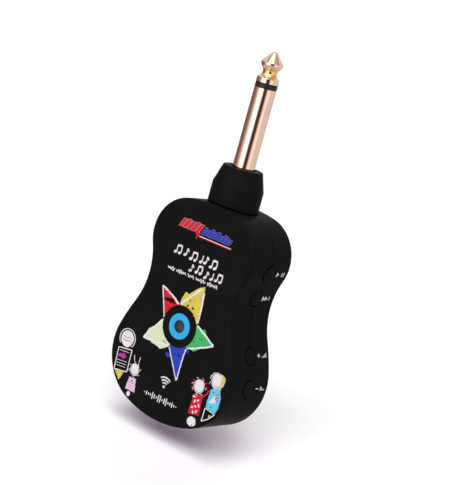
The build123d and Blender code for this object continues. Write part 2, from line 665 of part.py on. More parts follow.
for name, side in (("battery_wire_red", -1), ("battery_wire_black", 1)):
    start_x = CELL_TABS_X + CELL_TAB_OFFSET * side
    end_x = CONNECTOR_X + CONNECTOR_PIN_OFFSET * side
    connector_low = CONNECTOR_Z - CONNECTOR_DEPTH / 2
    battery_route = (
        (start_x, BATTERY_WIRE_Y, PROTECTION_TOP),
        (start_x, BATTERY_WIRE_Y, PROTECTION_TOP + BATTERY_WIRE_END),
        (end_x, BATTERY_WIRE_Y, connector_low - BATTERY_WIRE_END),
        (end_x, BATTERY_WIRE_Y, connector_low),
    )
    save(wire(battery_route, WIRE_BEND), name)

save(wire(SIGNAL_ROUTE, SIGNAL_WIRE_BEND), "signal_wire")
save(wire(GROUND_ROUTE, WIRE_BEND), "ground_wire")

# ---- buttons and switches ----------------------------------------------------------------
for name, height in BUTTON_HEIGHTS.items():
    wall = wall_plane(height)
    with BuildPart() as button:
        with BuildSketch(Plane(wall.origin, x_dir=wall.x_dir, z_dir=wall.x_dir.cross(wall.z_dir))) as cap:
            with BuildLine():
                rim = BUTTON_PROUD - BUTTON_DOME
                Polyline((0, BUTTON_PROUD), (0, -EAR_TOP), (BUTTON_RADIUS, -EAR_TOP), (BUTTON_RADIUS, rim))
                crown(BUTTON_PROUD, BUTTON_RADIUS, -BUTTON_DOME)
            make_face()
            fillet(cap.vertices().group_by(Axis.X)[-1].sort_by(Axis.Y)[-1], BUTTON_EDGE_ROUND)
        revolve(axis=Axis(wall.origin, wall.z_dir))
        with BuildSketch(wall_plane(height, EAR_TOP + EAR_THICKNESS)):
            RectangleRounded(EAR_SPAN, EAR_WIDTH, EAR_CORNER)
        extrude(amount=EAR_THICKNESS)
        with BuildSketch(wall_plane(height, PLUNGER_TOP)):
            Circle(STEM_RADIUS)
        extrude(amount=PLUNGER_TOP - EAR_TOP - EAR_THICKNESS)
    save(button, f"{name}_button")

    with BuildPart() as plunger:
        with BuildSketch(wall_plane(height, PLUNGER_TOP + PLUNGER_LENGTH)):
            Circle(PLUNGER_RADIUS)
        extrude(amount=PLUNGER_LENGTH)
    save(plunger, f"{name}_switch_plunger")

    with BuildPart() as switch:
        with BuildSketch(wall_plane(height, SWITCH_TOP + SWITCH_DEPTH)):
            with Locations((BOARD_FRONT - SWITCH_HEIGHT / 2, 0)):
                Rectangle(SWITCH_HEIGHT, SWITCH_WIDTH)
        extrude(amount=SWITCH_DEPTH)
        with BuildSketch(wall_plane(height, SWITCH_TOP + SWITCH_BORE_DEPTH)):
            Circle(SWITCH_BORE_RADIUS)
        extrude(amount=SWITCH_BORE_DEPTH, mode=Mode.SUBTRACT)
    save(switch, f"{name}_switch")
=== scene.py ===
import json
import math

import bmesh
import bpy
from mathutils import Matrix, Vector
from mathutils.bvhtree import BVHTree
from mathutils.noise import noise


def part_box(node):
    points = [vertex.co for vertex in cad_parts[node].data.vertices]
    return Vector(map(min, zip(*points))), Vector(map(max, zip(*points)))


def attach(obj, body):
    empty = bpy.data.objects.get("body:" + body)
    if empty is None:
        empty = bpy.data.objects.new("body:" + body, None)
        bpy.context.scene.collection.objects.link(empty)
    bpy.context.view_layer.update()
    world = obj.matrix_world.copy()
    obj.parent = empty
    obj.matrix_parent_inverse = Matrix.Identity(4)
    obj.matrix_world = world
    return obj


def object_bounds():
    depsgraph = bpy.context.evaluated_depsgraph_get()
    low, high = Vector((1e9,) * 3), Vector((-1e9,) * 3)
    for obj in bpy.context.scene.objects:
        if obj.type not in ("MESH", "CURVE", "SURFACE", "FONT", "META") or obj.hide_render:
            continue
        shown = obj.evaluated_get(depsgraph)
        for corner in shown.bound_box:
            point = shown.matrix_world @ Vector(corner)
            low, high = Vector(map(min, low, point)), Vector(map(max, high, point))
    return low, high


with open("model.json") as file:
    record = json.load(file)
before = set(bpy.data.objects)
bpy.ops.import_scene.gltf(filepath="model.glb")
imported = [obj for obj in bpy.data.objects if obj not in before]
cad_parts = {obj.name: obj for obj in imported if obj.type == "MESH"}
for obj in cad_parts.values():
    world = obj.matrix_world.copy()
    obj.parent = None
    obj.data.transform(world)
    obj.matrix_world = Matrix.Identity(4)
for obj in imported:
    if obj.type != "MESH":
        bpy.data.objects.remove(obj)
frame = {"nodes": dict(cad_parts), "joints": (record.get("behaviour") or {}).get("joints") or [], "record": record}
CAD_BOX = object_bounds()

# The looks of the wireless guitar transmitter: the studio, a procedural finish for every CAD
# node, and the printed artwork, which is thin raised ink on the front face and beside the
# buttons. Artwork sizes are in millimetres, from the lens in the middle of the star.

MM = 0.001
HOUSING = "housing"

# ---- camera: where it stands round the object, how it is rolled, and its lens ----------------
CAMERA_AZIMUTH = math.radians(35.725)
CAMERA_ELEVATION = math.radians(10.04)
CAMERA_ROLL = math.radians(15.52)
CAMERA_DISTANCE = 0.46956
CAMERA_AIM = Vector((0, 0, -0.0156))
CAMERA_SHIFT_ACROSS = -0.00022
CAMERA_SHIFT_UP = -0.006053
CAMERA_LENS = 123.74
CAMERA_SENSOR = 36.0
CAMERA_NEAR = 0.01


def around(azimuth, elevation=0.0):
    """Unit vector from the object towards a place round it: azimuth 0 is in front, 90 to its right."""
    flat = math.cos(elevation)
    return Vector((math.sin(azimuth) * flat, -math.cos(azimuth) * flat, math.sin(elevation)))


def add_camera():
    """Camera in the photographer's place, rolled so that the object leans in the picture."""
    back = around(CAMERA_AZIMUTH, CAMERA_ELEVATION)
    level = Vector((math.cos(CAMERA_AZIMUTH), math.sin(CAMERA_AZIMUTH), 0))
    upright = back.cross(level)
    across = math.cos(CAMERA_ROLL) * level + math.sin(CAMERA_ROLL) * upright
    up = math.cos(CAMERA_ROLL) * upright - math.sin(CAMERA_ROLL) * level
    place = CAMERA_AIM + back * CAMERA_DISTANCE + across * CAMERA_SHIFT_ACROSS + up * CAMERA_SHIFT_UP
    data = bpy.data.cameras.new("camera")
    data.lens = CAMERA_LENS
    data.sensor_width = CAMERA_SENSOR
    data.clip_start = CAMERA_NEAR
    camera = bpy.data.objects.new("camera", data)
    bpy.context.scene.collection.objects.link(camera)
    camera.matrix_world = Matrix.Translation(place) @ Matrix((across, up, back)).transposed().to_4x4()
    bpy.context.scene.camera = camera


# ---- studio ------------------------------------------------------------------------------
BACKDROP_RADIUS = 5.0
BACKDROP_SIDES = 96
BACKDROP_GLOW = 1.05
FLOOR_GAP = 5 * MM  # the object hangs this far over the floor
FLOOR_COLOUR = (0.94, 0.94, 0.94)
FLOOR_ROUGHNESS = 0.9
FLOOR_SHADOW_TINT = (1, 0, 1)  # painted shadow tint: a faint glow round the object's foot, which shows only in the shadow
FLOOR_SHADOW_GLOW = 0.052
GLOW_FULL = 20 * MM
GLOW_END = 60 * MM
WORLD_STRENGTH = 0.03
# Soft lights, each as (azimuth, elevation, spread, strength), all in degrees but the last.
LIGHTS = {
    "key_light": (24, 38, 50, 3.1),
    "top_light": (0, 80, 30, 1.15),
    "back_light": (215, 32, 50, 0.95),
}
DOME_RADIUS = 0.4
DOME_STEPS = 180
DOME_RINGS = 36
# The softboxes and flags round the object, which only its reflections see: (degrees to the
# right of the camera, brightness), blended from each to the next. One row stands round the
# object and another hangs over it.
PANELS = ((-180, 0.7), (-165, 0.3), (-144, 0.2), (-116, 0.107), (-97, 0.195), (-81, 0.37), (-67, 0.82),
          (-53, 1.4), (-41, 2.1), (-24, 2.4), (-17, 1.3), (-10, 0.25), (-4, 0.07), (5, 0.03), (14, 0.04),
          (20, 0.15), (27, 0.6), (38, 1.15), (53, 1.08), (67, 0.76), (97, 0.8), (144, 0.66), (180, 0.7))
HANGING_PANELS = ((-180, 0.7), (-100, 0.8), (-96, 0.05), (-86, 0.05), (-81, 1.9), (20, 1.9), (34, 1.2),
                  (46, 0.6), (92, 0.55), (98, 0.18), (106, 0.18), (112, 0.8), (180, 0.7))
# Where the standing row fades out, above and below, in degrees of elevation.
TURN_ABOVE = (22, 38)
TURN_BELOW = (15, 28)
UNDERFOOT = 0.6  # brightness under the standing row
WARM_SHADE = (1.5, 1.0, 0.84)  # what darkness does to red, green and blue
SHADE_START = 0.7  # brightness below which the warm shade sets in


def new_object(name, mesh):
    """Object in the scene for a mesh."""
    thing = bpy.data.objects.new(name, mesh)
    bpy.context.scene.collection.objects.link(thing)
    return thing


def mesh_from(name, bm):
    """Mesh of what was built in bm, which is given up."""
    mesh = bpy.data.meshes.new(name)
    bm.to_mesh(mesh)
    bm.free()
    return mesh


def node_tree(name):
    """New material with a Principled shader: the material, its links and nodes, and the shader."""
    material = bpy.data.materials.new(name)
    material.use_nodes = True
    nodes = material.node_tree.nodes
    return material, material.node_tree.links, nodes, nodes["Principled BSDF"]


def glowing(name, strength=1.0, attribute=None):
    """Plain emission material, coloured by a colour attribute if one is given."""
    material, links, nodes, _ = node_tree(name)
    glow = nodes.new("ShaderNodeEmission")
    glow.inputs["Strength"].default_value = strength
    if attribute:
        source = nodes.new("ShaderNodeVertexColor")
        source.layer_name = attribute
        links.new(source.outputs["Color"], glow.inputs["Color"])
    links.new(glow.outputs["Emission"], nodes["Material Output"].inputs["Surface"])
    return material


def blended(panels, degrees):
    """Brightness of a row of panels, so many degrees to the right of the camera."""
    for (low, dark), (high, bright) in zip(panels, panels[1:]):
        if degrees <= high:
            return dark + (bright - dark) * (degrees - low) / (high - low)


def dome_colour(degrees, elevation):
    """Colour of the dome to the right of the camera by degrees, and up by elevation in radians."""
    level = blended(PANELS, degrees)
    if elevation > 0:
        beyond = blended(HANGING_PANELS, degrees)
        start, end = TURN_ABOVE
    else:
        beyond = UNDERFOOT
        start, end = TURN_BELOW
    share = (abs(math.degrees(elevation)) - start) / (end - start)
    level += (beyond - level) * min(1.0, max(0.0, share))
    warmth = max(0.0, 1 - level / SHADE_START)
    return tuple(level * (1 + (shade - 1) * warmth) for shade in WARM_SHADE)


def add_dome():
    """Softboxes and dark flags in a sphere, seen only by the object's reflections."""
    bm = bmesh.new()
    tone = bm.loops.layers.float_color.new("tone")
    centre = Vector((0, 0, CAD_BOX[0].z))
    columns = []
    for step in range(DOME_STEPS + 1):
        degrees = -180 + 360 * step / DOME_STEPS
        column = []
        for ring in range(DOME_RINGS + 1):
            elevation = math.pi * (ring / DOME_RINGS - 0.5)
            place = centre + around(CAMERA_AZIMUTH + math.radians(degrees), elevation) * DOME_RADIUS
            column.append((bm.verts.new(place), dome_colour(degrees, elevation)))
        columns.append(column)
    for left, right in zip(columns, columns[1:]):
        for ring in range(DOME_RINGS):
            corners = (left[ring], right[ring], right[ring + 1], left[ring + 1])
            face = bm.faces.new([vertex for vertex, _ in corners])
            for loop, (_, colour) in zip(face.loops, corners):
                loop[tone] = (*colour, 1)
    dome = new_object("panel_dome", mesh_from("panel_dome", bm))
    dome.data.materials.append(glowing("panel_dome", attribute="tone"))
    dome.visible_camera = False
    dome.visible_diffuse = False
    dome.visible_transmission = False
    dome.visible_shadow = False


def floor_paper():
    """Pale dull paper with a painted shadow tint: the faint glow round the object's foot."""
    material, links, nodes, shader = node_tree("floor_paper")
    shader.inputs["Roughness"].default_value = FLOOR_ROUGHNESS
    shader.inputs["Specular IOR Level"].default_value = 0.0
    shader.inputs["Base Color"].default_value = (*FLOOR_COLOUR, 1)
    shader.inputs["Emission Color"].default_value = (*FLOOR_SHADOW_TINT, 1)
    place = nodes.new("ShaderNodeTexCoord")
    distance = nodes.new("ShaderNodeVectorMath")
    distance.operation = "LENGTH"
    links.new(place.outputs["Object"], distance.inputs[0])
    # painted shadow tint: the glow fades out away from the foot, so it shows only in the shadow
    glow = between(nodes, links, distance.outputs["Value"], FLOOR_SHADOW_GLOW, 0, GLOW_FULL, GLOW_END)
    links.new(glow, shader.inputs["Emission Strength"])
    return material


def add_floor():
    """Round sheet of paper under the object."""
    bm = bmesh.new()
    bmesh.ops.create_circle(bm, cap_ends=True, segments=BACKDROP_SIDES, radius=BACKDROP_RADIUS)
    floor = new_object("floor", mesh_from("floor", bm))
    floor.data.materials.append(floor_paper())
    floor.location.z = CAD_BOX[0].z - FLOOR_GAP
    floor.visible_glossy = False


def add_backdrop():
    """White surroundings that only the camera sees."""
    bm = bmesh.new()
    bmesh.ops.create_uvsphere(bm, u_segments=BACKDROP_SIDES, v_segments=BACKDROP_SIDES // 2,
                              radius=BACKDROP_RADIUS)
    backdrop = new_object("backdrop", mesh_from("backdrop", bm))
    backdrop.data.materials.append(glowing("backdrop", BACKDROP_GLOW))
    backdrop.location.z = CAD_BOX[0].z - FLOOR_GAP
    backdrop.visible_diffuse = False
    backdrop.visible_glossy = False
    backdrop.visible_transmission = False
    backdrop.visible_shadow = False


def add_light(name, azimuth, elevation, spread, strength):
    """Soft distant light that shines on the object and doesn't show in its reflections."""
    data = bpy.data.lights.new(name, "SUN")
    data.energy = strength
    data.angle = math.radians(spread)
    lamp = bpy.data.objects.new(name, data)
    bpy.context.scene.collection.objects.link(lamp)
    towards = around(math.radians(azimuth), math.radians(elevation))
    lamp.rotation_mode = "QUATERNION"
    lamp.rotation_quaternion = towards.to_track_quat("Z", "Y")
    lamp.visible_glossy = False


def add_studio():
    """World, lights, floor, backdrop and dome."""
    scene = bpy.context.scene
    scene.view_settings.view_transform = "Standard"
    world = bpy.data.worlds.new("studio")
    world.use_nodes = True
    background = world.node_tree.nodes["Background"]
    background.inputs["Color"].default_value = (1, 1, 1, 1)
    background.inputs["Strength"].default_value = WORLD_STRENGTH
    scene.world = world
    for name, settings in LIGHTS.items():
        add_light(name, *settings)
    add_floor()
    add_backdrop()
    add_dome()


# ---- finishes: noise scales are in features a metre --------------------------------------------
TONE_PATCHES = 180
GLOSS_SPREAD = 0.12
COAT_ROUGHNESS = 0.12
# Painted shade: ambient occlusion blackens surfaces that face another close by, in gaps and creases where shade
# falls.
GAP_SHADE_REACH = 0.8 * MM
GAP_SHADE_SAMPLES = 8
GAP_SHADE_BLACK = 0.74  # open share of the view from a surface at which the painted gap shade is black
GAP_SHADE_NONE = 0.99  # and at which the painted shade shows no more
LATHE_LINES = 26000
LATHE_STRETCH = (0.01, 0.01, 1)
LATHE_RELIEF = 1.2e-6
LATHE_STRENGTH = 0.6
PLATING_PATCHES = 260
PLATING_GLOSS = (0.8, 1.3)  # shares of the roughness that the plating goes between
TIP_GROOVE = (26.35 * MM, 28.6 * MM)  # heights of the tip's groove, painted a deeper gold: a painted reflection of light bounced between its gold faces
BOUNCE_BLEND = 0.12 * MM
PRINT_GRAIN = 2600
PRINT_SPOTS = 910
PRINT_RELIEF = 8e-6
PRINT_SPECULAR = 0.15
PRINT_ROUGHNESS = 0.6
PRINT_TONES = (0.35, 0.65)  # noise levels between which the grain goes from dark to full colour
THIN_SPOTS = (0.27, 0.30)  # noise levels between which the print thins out to the shell
BOARD_ROUGHNESS = 0.35
TRACK_CELLS = 420
TRACK_RANDOMNESS = 0.35
TRACK_EDGE = (0.08, 0.11)
TRACK_RELIEF = 1.5e-5
BOARD_PATCHES = 300
LENS_ROUGHNESS = 0.22
LENS_RIM_SHADE = (0.2 * MM, 1.5 * MM)  # distances from the middle over which the lens darkens: painted shade towards its rim
LENS_HAZE = 1500


def srgb(*levels):
    """Linear colour for 0 to 255 screen levels."""
    scaled = [level / 255 for level in levels]
    return tuple(c / 12.92 if c <= 0.04045 else ((c + 0.055) / 1.055) ** 2.4 for c in scaled)


def noise_node(nodes, links, scale, detail=3.0, stretch=(1, 1, 1)):
    """Noise in the object's own frame, stretched along an axis if wanted."""
    place = nodes.new("ShaderNodeTexCoord")
    mapping = nodes.new("ShaderNodeMapping")
    mapping.inputs["Scale"].default_value = stretch
    texture = nodes.new("ShaderNodeTexNoise")
    texture.inputs["Scale"].default_value = scale
    texture.inputs["Detail"].default_value = detail
    links.new(place.outputs["Object"], mapping.inputs["Vector"])
    links.new(mapping.outputs["Vector"], texture.inputs["Vector"])
    return texture.outputs["Fac"]


def between(nodes, links, source, low, high, start=0.3, end=0.7):
    """Value that goes from low to high as source goes from start to end."""
    spread = nodes.new("ShaderNodeMapRange")
    spread.inputs["From Min"].default_value = start
    spread.inputs["From Max"].default_value = end
    spread.inputs["To Min"].default_value = low
    spread.inputs["To Max"].default_value = high
    links.new(source, spread.inputs["Value"])
    return spread.outputs["Result"]


def mixed(nodes, links, factor, first, second):
    """Colour between two colours, or colour sockets, by a factor socket."""
    blend = nodes.new("ShaderNodeMix")
    blend.data_type = "RGBA"
    for socket, colour in ((blend.inputs[6], first), (blend.inputs[7], second)):
        if isinstance(colour, bpy.types.NodeSocket):
            links.new(colour, socket)
        else:
            socket.default_value = (*colour, 1)
    links.new(factor, blend.inputs[0])
    return blend.outputs[2]


def bumped(nodes, links, shader, source, height, strength=1.0):
    """Relief of the given height in metres from a source."""
    bump = nodes.new("ShaderNodeBump")
    bump.inputs["Strength"].default_value = strength
    bump.inputs["Distance"].default_value = height
    links.new(source, bump.inputs["Height"])
    links.new(bump.outputs["Normal"], shader.inputs["Normal"])


def moulded(name, colour, roughness, tone=0.12, grain=6000, relief=6e-6, specular=0.5, metallic=0.0,
            coat=0.0, shade_reach=0.0):
    """Finish with soft tone patches, uneven gloss and a fine surface grain.

    tone is how far the patches stray from the colour, and relief is the grain's height in metres.
    Surfaces that face another within the reach given in metres by the last argument are blackened: painted shade,
    standing in for the shade in gaps and creases between pieces.
    """
    material, links, nodes, shader = node_tree(name)
    shader.inputs["Metallic"].default_value = metallic
    shader.inputs["Specular IOR Level"].default_value = specular
    shader.inputs["Coat Weight"].default_value = coat
    shader.inputs["Coat Roughness"].default_value = COAT_ROUGHNESS
    patches = noise_node(nodes, links, TONE_PATCHES)
    fine = noise_node(nodes, links, grain, 2.0)
    darker = tuple(c * (1 - tone) for c in colour)
    lighter = tuple(min(1.0, c * (1 + tone)) for c in colour)
    shade = mixed(nodes, links, between(nodes, links, patches, 0, 1), darker, lighter)
    # painted shade: ambient occlusion blackens the colour in gaps and creases
    if shade_reach:
        view = nodes.new("ShaderNodeAmbientOcclusion")
        view.samples = GAP_SHADE_SAMPLES
        view.inputs["Distance"].default_value = shade_reach
        unshaded = between(nodes, links, view.outputs["AO"], 0, 1, GAP_SHADE_BLACK, GAP_SHADE_NONE)
        shade = mixed(nodes, links, unshaded, (0, 0, 0), shade)
    links.new(shade, shader.inputs["Base Color"])
    gloss = between(nodes, links, patches, roughness * (1 - GLOSS_SPREAD),
                    min(1.0, roughness * (1 + GLOSS_SPREAD)))
    links.new(gloss, shader.inputs["Roughness"])
    bumped(nodes, links, shader, fine, relief)
    return material


def plated(name, colour, roughness, tone=0.05, bounce_band=None):
    """Turned and plated metal: fine lathe lines round the plug's axis and slight gloss changes.

    The last argument is a deeper gold between two heights: a painted reflection in the tip's groove, standing in
    for light bounced between its gold faces.
    """
    material, links, nodes, shader = node_tree(name)
    shader.inputs["Metallic"].default_value = 1.0
    turned = noise_node(nodes, links, LATHE_LINES, 1.0, LATHE_STRETCH)
    patches = noise_node(nodes, links, PLATING_PATCHES)
    darker = tuple(c * (1 - tone) for c in colour)
    shade = mixed(nodes, links, between(nodes, links, patches, 0, 1), darker, colour)
    # painted reflection: a deeper gold in the groove, for light bounced between the gold faces
    if bounce_band:
        bounce_colour, low, high = bounce_band
        place = nodes.new("ShaderNodeTexCoord")
        split = nodes.new("ShaderNodeSeparateXYZ")
        links.new(place.outputs["Object"], split.inputs["Vector"])
        height = split.outputs["Z"]
        above = between(nodes, links, height, 0, 1, low - BOUNCE_BLEND, low + BOUNCE_BLEND)
        below = between(nodes, links, height, 1, 0, high - BOUNCE_BLEND, high + BOUNCE_BLEND)
        inside = nodes.new("ShaderNodeMath")
        inside.operation = "MULTIPLY"
        links.new(above, inside.inputs[0])
        links.new(below, inside.inputs[1])
        shade = mixed(nodes, links, inside.outputs["Value"], shade, bounce_colour)
    links.new(shade, shader.inputs["Base Color"])
    gloss = between(nodes, links, patches, *(roughness * share for share in PLATING_GLOSS))
    links.new(gloss, shader.inputs["Roughness"])
    bumped(nodes, links, shader, turned, LATHE_RELIEF, LATHE_STRENGTH)
    return material


def printed(name, colour, worn):
    """Crayon-like print: grainy colour with small thin spots where the black shell shows.

    worn is how much darker the grain's low places are than its high ones.
    """
    material, links, nodes, shader = node_tree(name)
    shader.inputs["Specular IOR Level"].default_value = PRINT_SPECULAR
    shader.inputs["Roughness"].default_value = PRINT_ROUGHNESS
    grain = noise_node(nodes, links, PRINT_GRAIN, 4.0)
    spots = noise_node(nodes, links, PRINT_SPOTS, 5.0)
    darker = tuple(c * (1 - worn) for c in colour)
    body = mixed(nodes, links, between(nodes, links, grain, 0, 1, *PRINT_TONES), darker, colour)
    thin = between(nodes, links, spots, 1, 0, *THIN_SPOTS)
    links.new(mixed(nodes, links, thin, body, srgb(30, 30, 30)), shader.inputs["Base Color"])
    bumped(nodes, links, shader, grain, PRINT_RELIEF)
    return material


def circuit_board(name):
    """Green solder mask over copper tracks, which show as a slightly lighter relief."""
    material, links, nodes, shader = node_tree(name)
    shader.inputs["Roughness"].default_value = BOARD_ROUGHNESS
    place = nodes.new("ShaderNodeTexCoord")
    cells = nodes.new("ShaderNodeTexVoronoi")
    cells.feature = "DISTANCE_TO_EDGE"
    cells.distance = "CHEBYCHEV"
    cells.inputs["Scale"].default_value = TRACK_CELLS
    cells.inputs["Randomness"].default_value = TRACK_RANDOMNESS
    links.new(place.outputs["Object"], cells.inputs["Vector"])
    track = between(nodes, links, cells.outputs["Distance"], 1, 0, *TRACK_EDGE)
    mask = noise_node(nodes, links, BOARD_PATCHES)
    laminate = mixed(nodes, links, between(nodes, links, mask, 0, 1), srgb(8, 62, 32), srgb(14, 78, 42))
    links.new(mixed(nodes, links, track, laminate, srgb(30, 112, 62)), shader.inputs["Base Color"])
    bumped(nodes, links, shader, track, TRACK_RELIEF)
    return material


def smoky_lens(name, centre):
    """Grey light pipe, lighter in its middle and darker towards its rim: painted shade round the edge of its hole.
    """
    material, links, nodes, shader = node_tree(name)
    shader.inputs["Roughness"].default_value = LENS_ROUGHNESS
    shader.inputs["Specular IOR Level"].default_value = 0.5
    place = nodes.new("ShaderNodeTexCoord")
    distance = nodes.new("ShaderNodeVectorMath")
    distance.operation = "DISTANCE"
    distance.inputs[1].default_value = centre
    links.new(place.outputs["Object"], distance.inputs[0])
    # painted shade: the lens darkens from its middle towards its rim
    glow = between(nodes, links, distance.outputs["Value"], 1, 0, *LENS_RIM_SHADE)
    cloud = mixed(nodes, links, glow, srgb(26, 26, 28), srgb(48, 48, 48))
    haze = between(nodes, links, noise_node(nodes, links, LENS_HAZE), 0.0, 0.25)
    links.new(mixed(nodes, links, haze, cloud, srgb(32, 32, 34)), shader.inputs["Base Color"])
    return material


INK_DEPTH = 0.77  # inks print this much duller than their swatches
# Each ink's swatch, and how worn it is.
INKS = {
    "ink_white": (srgb(238, 230, 234), 0.1),
    "ink_red": (srgb(228, 20, 50), 0.32),
    "ink_yellow": (srgb(226, 206, 84), 0.2),
    "ink_green": (srgb(70, 190, 108), 0.25),
    "ink_blue": (srgb(44, 64, 196), 0.3),
    "ink_sky_blue": (srgb(52, 176, 236), 0.15),
    "ink_pale_green": (srgb(220, 230, 190), 0.12),
    "ink_pink": (srgb(236, 196, 224), 0.12),
    "ink_magenta": (srgb(186, 60, 168), 0.3),
    "ink_cyan": (srgb(100, 208, 236), 0.15),
}


def lens_face():
    """Middle of the lens on the front face."""
    low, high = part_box("light_pipe")
    return Vector(((low.x + high.x) / 2, low.y, (low.z + high.z) / 2))


# The shell and the buttons carry painted shade in their gaps and creases.
MOULDED = {
    "shell_black": dict(colour=srgb(18, 18, 18), roughness=0.42, tone=0.1, grain=7000, relief=4e-6,
                        specular=0.016, shade_reach=GAP_SHADE_REACH),
    "button_black": dict(colour=srgb(18, 18, 18), roughness=0.4, tone=0.08, grain=9000, relief=3e-6,
                         specular=0.016, shade_reach=GAP_SHADE_REACH),
    "ring_black": dict(colour=srgb(40, 30, 35), roughness=0.25, tone=0.1, grain=9000, relief=2e-6,
                       specular=0.2),
    "nylon_white": dict(colour=srgb(232, 230, 222), roughness=0.45, tone=0.05),
    "tin_plate": dict(colour=srgb(200, 200, 204), roughness=0.3, tone=0.06, grain=3000, relief=2e-6,
                      metallic=1.0),
    "ceramic_white": dict(colour=srgb(226, 222, 210), roughness=0.35, tone=0.06),
    "chip_black": dict(colour=srgb(34, 34, 36), roughness=0.5, grain=5000, relief=8e-6),
    "capacitor_brown": dict(colour=srgb(150, 112, 78), roughness=0.45, tone=0.1),
    "battery_foil": dict(colour=srgb(196, 198, 202), roughness=0.38, tone=0.06, grain=900, relief=2e-5,
                         metallic=1.0),
    "protection_tape": dict(colour=srgb(212, 164, 62), roughness=0.35, tone=0.08, grain=1500,
                            relief=1.5e-5, coat=0.4),
    "foam_white": dict(colour=srgb(230, 230, 228), roughness=0.9, tone=0.06, grain=2500, relief=6e-5),
    "wire_red": dict(colour=srgb(190, 28, 26), roughness=0.4, tone=0.08),
    "wire_black": dict(colour=srgb(24, 24, 25), roughness=0.4, tone=0.08),
    "wire_white": dict(colour=srgb(226, 226, 224), roughness=0.4, tone=0.05),
}
PLATED = {
    "plug_gold": dict(colour=srgb(249, 213, 191), roughness=0.08),
    # the tip's groove carries a painted reflection of bounced light
    "tip_gold": dict(colour=srgb(249, 213, 188), roughness=0.045, bounce_band=(srgb(244, 196, 138), *TIP_GROOVE)),
    "tinned_brass": dict(colour=srgb(205, 196, 176), roughness=0.3),
    "screw_steel": dict(colour=srgb(70, 70, 74), roughness=0.32, tone=0.15),
}


def make_finishes():
    """One material for each slot of the record."""
    made = {slot: moulded(slot, **settings) for slot, settings in MOULDED.items()}
    for slot, settings in PLATED.items():
        made[slot] = plated(slot, **settings)
    made["board_green"] = circuit_board("board_green")
    made["lens_grey"] = smoky_lens("lens_grey", lens_face())
    for slot, (colour, worn) in INKS.items():
        made[slot] = printed(slot, tuple(INK_DEPTH * level for level in colour), worn)
    return made


def finish_nodes(finishes):
    """Gives every CAD node the finish of its slot in the record."""
    for part in frame["record"]["subparts"]:
        node = frame["nodes"][part["node"]]
        if not node.material_slots:
            node.data.materials.append(None)
        for slot in node.material_slots:
            slot.material = finishes[part["material_slot"]]


# ---- printed artwork -------------------------------------------------------------------------
INK_SINK = 0.02 * MM
INK_LIFT = 0.02 * MM
LAYER_LIFT = 0.008 * MM
FILLS, FLECKS, LINES = range(3)  # the layers of ink, from the shell outwards
# Shapes of one layer lie on this many levels, this share of a layer apart, so that none meet.
LEVELS = 10
LEVEL_SHARE = 0.05
REACH = 0.02  # the shell is looked for from this far outside, in metres
STEP = 0.14
RAGGED_STEP = 1.6 * STEP
RAGGED_BIAS = 0.35
RAGGED_GRAIN = 1.7
WOBBLE_GRAIN = 3.0
SWAY_GRAIN = 0.9
SWAY_APART = 40  # keeps the noise that sways a stroke away from the one that thins it
RING_SIDES = 96


class Canvas:
    """A place on the outside of the shells, with its own right, up and outward directions."""

    shells = None

    def __init__(self, origin, right, up):
        self.origin = Vector(origin)
        self.right = Vector(right)
        self.up = Vector(up)
        self.out = self.right.cross(self.up)
        if Canvas.shells is None:
            bm = bmesh.new()
            for shell in ("front_shell", "rear_shell"):
                bm.from_mesh(frame["nodes"][shell].data)
            Canvas.shells = BVHTree.FromBMesh(bm)
            bm.free()

    def point(self, across, along, lift):
        """Point on the shell under (across, along) millimetres, raised by lift metres."""
        start = self.origin + (self.right * across + self.up * along) * MM + self.out * REACH
        hit = Canvas.shells.ray_cast(start, -self.out)[0]
        return hit + self.out * lift


